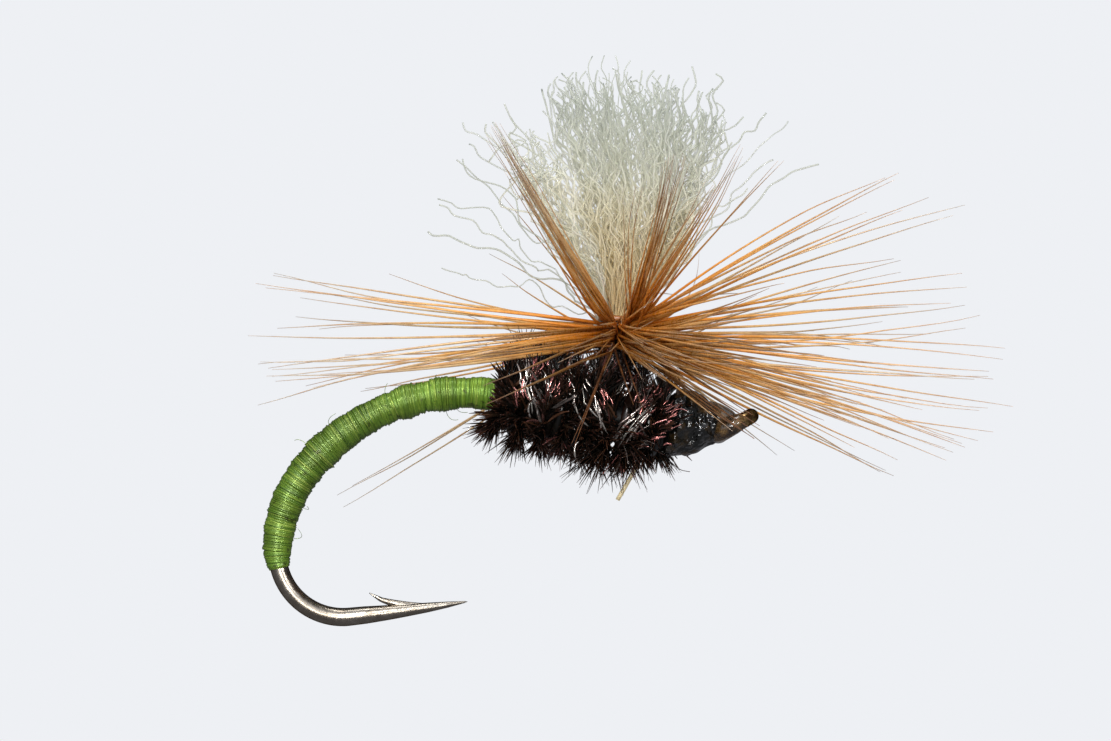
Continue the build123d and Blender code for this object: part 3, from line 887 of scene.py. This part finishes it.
def make_stem():
    per_turn = 30
    t = np.linspace(0, 1, HACKLE_TURNS * per_turn + 1)
    angle = TAU * HACKLE_TURNS * t
    height = COLUMN_TOP - STEM_R * 2 - HACKLE_TURNS * STEM_PITCH * (1 - t)
    line = off_post(height, angle, POST_WRAP_R + STEM_R + 0.005)
    s = Strands()
    s.add(line, STEM_WIDE, STEM_R, sides=8, across=POST_AXIS)
    finish_piece(s.build("hackle_quill_turns"), STEM, "hackle_feather", "hackle_stem")


def make_butt():
    """The stem's trimmed end, on the diagonal of the CAD node's box."""
    low, high = (np.array(c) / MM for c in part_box("hackle_butt"))
    top = np.array([high[0], 0, high[2]])
    end = np.array([low[0] + 0.03, 0, low[2] + 0.02])
    t = np.linspace(0, 1, 10)[:, None]
    line = top + (end - top) * t + np.array([0.03, -0.02, 0]) * np.sin(math.pi * t)
    s = Strands()
    s.add(line, 0.055, 0.042, sides=12)
    finish_piece(s.build("hackle_butt_end"), QUILL, "hackle_feather", "hackle_butt")


# ---- thorax
HERL_PITCH = 0.52

# Each herl: part, its barbules' place along the wire and number, the x that its light-catching barbules
# lie between, and its stem's place along the wire
HERLS = (
    ("rear", 2.95, 5.6, 2900, -9, -3.33, 2.75, 5.45),
    ("front", 1.3, 3.0, 1700, -3.33, 0, 1.3, 2.45),
)


def bed_radius(d):
    """How far out the herl's turns lie: full in the middle, lower at both ends."""
    return np.interp(d, [1.2, 1.6, 2.4, 4.6, 5.3, 5.7], [0.74, 0.90, 0.98, 1.06, 0.98, 0.74])


def barbules(rng, start, end, n):
    """Barbules in two rows along the herl's turns, swept back round the thorax."""
    turn = rng.uniform(0, (end - start) / HERL_PITCH, n)
    angle = TAU * turn
    waver = 0.07 * np.sin(angle * 0.83 + 1) + 0.05 * np.sin(angle * 2.2)
    d = np.clip(start + HERL_PITCH * turn + waver + rng.normal(0, 0.07, n), start, end)
    row = rng.choice([-1.0, 1.0], n)
    point, run, up = on_wire(d)
    out = round_wire(up, angle)
    side = np.cross(run, out)
    tuft = np.sin(angle * 4.3 + 2.0 * np.sin(d * 3)) * 0.8 + 0.5 * np.sin(angle * 7.7 + d * 5)
    sweep = np.radians(rng.normal(52, 11, n) + 18 * tuft)[:, None]
    ends = 0.55 * smooth((d - end + 0.4) / 0.4) - 0.45 * smooth((start + 0.35 - d) / 0.35)
    lean = (row * 0.26 + 0.3 * np.sin(angle * 5.1 + 1.5 + d * 2) + rng.normal(0.05, 0.2, n) + ends)[:, None]
    top = np.clip(-np.cos(angle), 0, 1) ** 2
    collar = (0.40 * np.exp(-(((d - 2.75) / 0.65) ** 2)) + 0.22 * smooth((d - 4.6) / 0.5)) * top
    patch = 0.74 + 0.48 * np.sin(angle * 3.1 + d * 2.3) * np.sin(d * 5 + angle)
    beard = 1 + 0.42 * np.exp(-(((d - 2.5) / 0.8) ** 2)) * np.clip(np.cos(angle), 0, 1)
    reach = (rng.uniform(0.50, 0.95, n) * patch * beard + 0.12)[:, None]
    t = np.linspace(0, 1, 7)[None, :, None]
    first = unit(out * np.cos(sweep) + side * np.sin(sweep) + run * lean)
    curl = unit(out + side * rng.normal(0.2, 0.4, (n, 1)) + run * lean)
    line = (point + out * (bed_radius(d) + collar + rng.uniform(-0.12, 0.02, n))[:, None])[:, None]
    line = line + first[:, None] * reach[:, None] * t * (1 - 0.25 * t)
    line = line + curl[:, None] * reach[:, None] * 0.30 * t * t
    line = line + rng.normal(0, 0.035, (n, 1, 3)) * t
    wide = rng.uniform(0.036, 0.062, (n, 1)) * (1 - 0.80 * t[..., 0] ** 2.4)
    # Patches of barbules that get the pale copper and silver tints: painted glints on glossy metallic
    # barbules.
    gloss = np.sin(angle * 2.7 + d * 3.1) * np.sin(d * 4.3 + angle * 1.3 + 0.6)
    gloss_and_painted_glint = (gloss > 0.40) & (rng.random(n) < 0.33)
    tint = np.where(gloss_and_painted_glint, rng.uniform(0.81, 0.93, n), rng.uniform(0.0, 0.76, n))
    return line, wide, side, tint


# Barbules that lie flat and catch the light, their pale tones painting glints: where their middles are,
# the way they point in degrees from forward, their length, how many, and their tone (0.82 copper pink,
# 0.92 silver)
SHINES = (
    (-5.72, 1.9, 80, 0.45, 6, 0.82), (-5.6, 0.75, 95, 0.45, 3, 0.84),
    (-4.95, 1.5, 85, 0.4, 3, 0.84), (-4.05, 0.75, 105, 0.55, 3, 0.92),
    (-3.0, 0.95, 75, 0.45, 3, 0.92), (-2.1, 0.75, 45, 0.5, 4, 0.84),
    (-2.95, -0.05, 60, 0.6, 3, 0.92), (-5.3, 1.45, 100, 0.6, 3, 0.92),
    (-5.33, 0.85, 105, 0.55, 4, 0.92), (-5.05, 0.4, 108, 0.75, 3, 0.92),
    (-4.8, 1.05, 100, 0.6, 2, 0.92), (-4.53, 0.96, 70, 0.5, 5, 0.82),
    (-4.32, 1.22, 62, 0.4, 3, 0.84), (-4.15, 1.45, 98, 0.6, 3, 0.92),
    (-3.58, 0.25, 115, 0.95, 4, 0.92), (-3.45, 0.85, 118, 0.55, 2, 0.92),
    (-3.24, 0.68, 120, 0.5, 4, 0.82), (-2.7, 1.31, 58, 0.45, 3, 0.82),
    (-2.49, 0.1, 42, 1.1, 7, 0.92), (-2.3, 0.42, 48, 0.6, 5, 0.82),
    (-2.4, 0.85, 60, 0.4, 3, 0.84), (-1.75, 1.1, 20, 0.4, 3, 0.82),
    (-1.72, 0.45, 24, 0.5, 5, 0.82), (-1.72, 0.12, 16, 0.5, 5, 0.83),
    (-1.8, -0.3, 15, 0.35, 3, 0.82),
)


def shining_barbules(rng, low, high):
    """The light-catching barbules between two places along the hook, near side and far side alike. Their pale
    tints are painted glints as well as the herl's iridescence.
    """
    lines, normals, tints = [], [], []
    t = np.linspace(-0.5, 0.5, 9)
    for x, z, heading, length, count, tone in SHINES:
        if not low <= x < high:
            continue
        for side in (-1, 1):
            for _ in range(round(count * 1.4)):
                way = along(heading + rng.normal(0, 9), length * rng.uniform(0.4, 1.2))
                line = np.array([x, 0, z]) + rng.normal(0, 0.13, 3) * (1, 0, 1) + way * t[:, None]
                line = line + along(heading + 90, rng.normal(0, 0.06)) * (4 * t**2)[:, None]
                d = shank_distance(line)
                axis = on_wire(d)[0]
                rise = line[:, 2] - axis[:, 2]
                r = bed_radius(d) + 0.32 + 0.10 * (t + 0.5) + rng.uniform(-0.08, 0.04)
                rise = np.clip(rise, -0.92 * r, 0.92 * r)
                line[:, 1] = side * np.sqrt(r**2 - rise**2)
                line[:, 2] = axis[:, 2] + rise
                lines.append(line)
                normals.append(unit(line - axis))
                tints.append(np.clip(tone + rng.normal(0, 0.018), 0.805, 0.935))
    lines = np.array(lines)
    across = np.cross(unit(np.gradient(lines, axis=1)), np.array(normals))
    wide = rng.uniform(0.012, 0.030, (len(lines), 1)) * (1 - 0.8 * (2 * t) ** 4)
    return lines, wide, across, np.array(tints)


# Two barbules that have curled out on their own: half-width, tone and places along their run
CURLED = {
    "rear": (0.026, 0.925, (-3.97, -0.95, -0.42), (-4.06, -0.98, -0.48), (-4.09, -0.98, -0.65),
             (-4.05, -0.95, -0.85), (-3.94, -0.90, -1.06)),
    "front": (0.009, 0.7, (-1.58, -0.2, -0.80), (-1.52, -0.2, -1.02), (-1.38, -0.2, -1.15),
              (-1.14, -0.2, -1.19)),
}


def add_curled_barbule(s, part):
    half_width, tint, *stops = CURLED[part]
    t = np.linspace(0, len(stops) - 1, 24)
    line = along_run(t, np.arange(len(stops)), np.array(stops))
    for _ in range(6):
        line[1:-1] = (line[:-2] + 2 * line[1:-1] + line[2:]) / 4
    s.add(line, half_width, sides=6, tint=tint)


def make_thorax():
    rng = np.random.default_rng(47)
    for part, start, end, n, low_x, high_x, _, _ in HERLS:
        s = Strands()
        line, wide, side, tint = barbules(rng, start, end, n)
        s.add(line, wide, wide * 0.35, sides=4, across=side[:, None], tint=tint)
        line, wide, across, tint = shining_barbules(rng, low_x, high_x)
        s.add(line, wide, wide * 0.4, sides=6, across=across, tint=tint)
        add_curled_barbule(s, part)
        finish_piece(s.build("herl_barbules_" + part), HERL, "peacock_herl", "herl_flue_" + part)
    for part, *_, start, end in HERLS:
        turns = round((end - start) / HERL_PITCH * 2)
        line, run, out = coil_line(start, end, turns, lambda d: bed_radius(d) - 0.09, 28, rng, 0.01)
        s = Strands()
        s.add(line, 0.13, 0.06, sides=8, across=run, tint=0.2)
        d = np.linspace(start, end, 24)
        s.add(on_wire(d)[0], bed_radius(d) - 0.12, sides=40, across=Y_AXIS, tint=0.1)
        finish_piece(s.build("herl_quill_" + part), HERL, "peacock_herl", "herl_stem_" + part)


# ---- head
HEAD_AT = [0.04, 0.14, 0.24, 0.42, 0.72, 1.05, 1.22, 1.30]
HEAD_R = [0.20, 0.26, 0.34, 0.49, 0.65, 0.74, 0.72, 0.62]
COAT_AT = [0.02, 0.06, 0.24, 0.42, 0.72, 1.05, 1.24]
COAT_R = [0.20, 0.25, 0.38, 0.53, 0.69, 0.79, 0.77]
HEAD_LAYERS, HEAD_TURNS = 3, 17
KNOT_FROM, KNOT_TO, KNOT_TURNS = 0.30, 0.58, 5
HEAD_WRAPS_FROM, HEAD_WRAPS_TO = 0.06, 1.26
# The mound of varnish over the back of the eye: its ends from the shank's start, and its half-heights
MOUND_BEHIND, MOUND_AHEAD = np.array([-0.28, 0, 0.35]), np.array([0.48, 0, 0.44])
MOUND_AT, MOUND_R = [0, 0.2, 0.45, 0.7, 0.9, 1.0], [0.50, 0.50, 0.43, 0.30, 0.17, 0.05]
# The varnish round the rear of the eye's ring: its radius by the angle from its middle, and its lift there
RING_AT, RING_R = [0, 0.9, 1.5, 1.9, 2.15], [0.30, 0.275, 0.25, 0.215, 0.15]
RING_LIFT = 0.055


def head_radius(d):
    return np.interp(d, HEAD_AT, HEAD_R)


def head_rise(d):
    """How far the head's middle stands above the shank."""
    return np.interp(d, [0.0, 0.15, 0.5, 1.0, 1.3], [0.21, 0.20, 0.15, 0.10, 0.08])


def raised(line, d):
    return line + UPWARD * head_rise(d)[:, None]


def add_head_coil(s, start, end, turns, depth, per_turn, rng, wobble, phase, wide, sides):
    """Thread wound on the raised head, at a depth under its outside."""
    line, run, out = coil_line(
        start, end, turns, lambda d: head_radius(d) + head_rise(d) - depth, per_turn, rng, wobble, phase,
    )
    s.add(raised(line, shank_distance(line)), wide, 0.026, sides=sides, across=run)


def varnish_lump(d, a):
    """Varnish stands twice the rise higher on top, with a few ripples. The angle is 0 underneath."""
    ripples = 0.018 * np.sin(3 * a + 5 * d) + 0.02 * np.sin(2 * a - 9 * d + 1) + 0.010 * np.sin(7 * a + 21 * d)
    return head_rise(d) * (1 - np.cos(a)) + ripples


def make_head():
    rng = np.random.default_rng(59)
    s = Strands()
    for layer in range(HEAD_LAYERS):
        add_head_coil(
            s, HEAD_WRAPS_FROM, HEAD_WRAPS_TO, HEAD_TURNS, 0.05, 36, rng, 0.03, layer * 2.0, 0.036, 6,
        )
    d = np.linspace(0.04, 1.3, 40)
    core = head_radius(d) + head_rise(d) - 0.055
    s.add(raised(on_wire(d)[0], d), core, sides=40, across=Y_AXIS)
    finish_piece(s.build("head_wraps"), BLACK, "black_thread", "head_thread")
    knot = Strands()
    add_head_coil(knot, KNOT_FROM, KNOT_TO, KNOT_TURNS, 0.01, 40, rng, 0.008, 1.0, 0.03, 8)
    finish_piece(knot.build("whip_finish_knot"), BLACK, "black_thread", "whip_finish")


def make_varnish():
    d = np.linspace(COAT_AT[0], COAT_AT[-1], 60)
    a = np.arange(72) * TAU / 72
    point, run, up = on_wire(d)
    r = np.interp(d, COAT_AT, COAT_R)[:, None] + varnish_lump(d[:, None], a)
    coat = Strands()
    coat.add_rings((point[:, None] + r[..., None] * round_wire(up[:, None], a))[None])
    finish_piece(coat.build("varnish_coat"), CEMENT, "cement", "head_cement")
    by_eye = Strands()
    t = np.linspace(0, 1, 16)
    line = SHANK_START + MOUND_BEHIND + (MOUND_AHEAD - MOUND_BEHIND) * t[:, None]
    girth = np.interp(t, MOUND_AT, MOUND_R)
    by_eye.add(line, girth, girth * 0.95, sides=40, across=Y_AXIS)
    turn = np.linspace(-RING_AT[-1], RING_AT[-1], 41)
    ring = eye_ring(math.pi - turn) + UPWARD * RING_LIFT * (1 + np.cos(turn))[:, None] / 2
    by_eye.add(ring, np.interp(np.abs(turn), RING_AT, RING_R), sides=28, across=EYE_AXIS)
    finish_piece(by_eye.build("varnish_by_the_eye"), AMBER, "cement", "head_cement")


def make_post_wraps():
    t = np.linspace(0, 1, 28 * POST_WRAP_TURNS + 1)
    height = POST_WRAPS_LOW + (POST_WRAPS_HIGH - POST_WRAPS_LOW) * t
    line = off_post(height, TAU * POST_WRAP_TURNS * t, POST_WRAP_R - 0.035)
    s = Strands()
    s.add(line, 0.042, 0.03, sides=6, across=POST_AXIS)
    finish_piece(s.build("post_thread_turns"), BLACK, "black_thread", "post_wraps")


def dress_inner_nodes():
    """The CAD nodes that stay: buried layers whose shape needs nothing more than its material."""
    for node, material in (
        ("thread_foundation", BLACK),
        ("thorax_wraps", BLACK),
        ("abdomen_underlayer", GREEN),
        ("yarn_butts", YARN),
    ):
        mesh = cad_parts[node].data
        mesh.materials.clear()
        mesh.materials.append(material)


# ---- stage, lights and camera
VIEW_CENTRE = np.array([-4.565, 0.0, 1.39])
VIEW_WIDTH = 28.33
CAMERA_DISTANCE = 200.0
SENSOR = 36.0
LIT_PLACE = np.array([-3.5, 0.0, 1.0])
FLOOR_DROP = 9.0
FLOOR_RADIUS, FLOOR_SIDES = 100.0, 96
FLOOR_GLOW = 0.69
BACKDROP = (0.855, 0.872, 0.905)


def make_camera():
    data = bpy.data.cameras.new("camera")
    data.sensor_width = SENSOR
    data.lens = SENSOR * CAMERA_DISTANCE / VIEW_WIDTH
    data.clip_start = 0.001
    data.clip_end = 10
    camera = bpy.data.objects.new("camera", data)
    camera.location = (VIEW_CENTRE - Y_AXIS * CAMERA_DISTANCE) * MM
    camera.rotation_euler = (math.radians(90), 0, 0)
    bpy.context.scene.collection.objects.link(camera)
    bpy.context.scene.camera = camera


def make_floor():
    """A disc well below the fly. To the eye it glows, so that it looks like the backdrop."""
    a = np.arange(FLOOR_SIDES) * TAU / FLOOR_SIDES
    ring = np.stack([np.cos(a), np.sin(a), np.zeros(FLOOR_SIDES)], -1) * FLOOR_RADIUS * MM
    centre = np.array([(cad_low.x + cad_high.x) / 2, 0.0, cad_low.z - FLOOR_DROP * MM])
    corners = np.arange(FLOOR_SIDES, dtype=np.int32)
    floor = mesh_object("floor", ring + centre, corners, np.array([FLOOR_SIDES], np.int32))
    m = new_material("pale_floor")
    pale = m.ramp(m.noise(60, 3), (0.3, (0.12, 0.12, 0.13)), (0.7, (0.14, 0.14, 0.15)))
    seen = m.node("LightPath").outputs["Is Camera Ray"]
    floor.data.materials.append(m.surface(
        Base_Color=pale, Roughness=0.9, Specular_IOR_Level=0.0,
        Emission_Color=BACKDROP, Emission_Strength=m.math("MULTIPLY", seen, FLOOR_GLOW),
    ))


def make_world():
    """A pale backdrop for the eye, even light, and a bright front with a dim rest for what mirrors it."""
    m = Nodes(bpy.data.worlds.new("studio"), "OutputWorld", "Generated")
    facing = m.node("VectorMath", {"operation": "DOT_PRODUCT"})
    m.put(facing.inputs[0], m.place)
    m.put(facing.inputs[1], unit(np.array([-0.2, -1.0, 0.35])))
    level = m.node(
        "MapRange", {"interpolation_type": "SMOOTHSTEP"},
        Value=facing.outputs["Value"], From_Min=0.50, From_Max=0.85, To_Min=0.08, To_Max=1.3,
    )
    ray = m.node("LightPath").outputs
    backdrop = m.node("Background", Color=BACKDROP, Strength=1.0)
    front = m.node("Background", Color=(0.85, 0.90, 1.0), Strength=level.outputs[0])
    soft = m.node("Background", Color=(0.96, 0.97, 1.0), Strength=0.82)
    around = m.mixed(ray["Is Glossy Ray"], soft, front)
    bpy.context.scene.world = m.finish(m.mixed(ray["Is Camera Ray"], around, backdrop))


def add_light(name, place, size, watts, colour=(1, 1, 1)):
    """A rectangular light that faces the fly's middle."""
    data = bpy.data.lights.new(name, "AREA")
    data.shape = "RECTANGLE"
    data.size, data.size_y = size[0] * MM, size[1] * MM
    data.energy = watts
    data.color = colour
    light = bpy.data.objects.new(name, data)
    light.location = np.array(place) * MM
    light.rotation_euler = Vector(LIT_PLACE - place).to_track_quat("-Z", "Y").to_euler()
    bpy.context.scene.collection.objects.link(light)


def make_lights():
    add_light("key", (-45, -190, 95), (34, 26), 0.42)
    add_light("fill", (110, -180, 40), (24, 24), 0.14)
    add_light("top", (0, -20, 220), (70, 70), 0.20)
    add_light("under", (-10, -175, -120), (60, 40), 0.22)
    add_light("front", (-15, -210, -5), (50, 50), 0.16, (1.0, 0.97, 0.92))


make_hook()
make_abdomen()
make_wing()
make_hackle()
make_thorax()
make_head()
make_varnish()
make_post_wraps()
dress_inner_nodes()
make_world()
make_floor()
make_lights()
make_camera()
bpy.context.scene.view_settings.view_transform = "Standard"

bpy.context.view_layer.update()
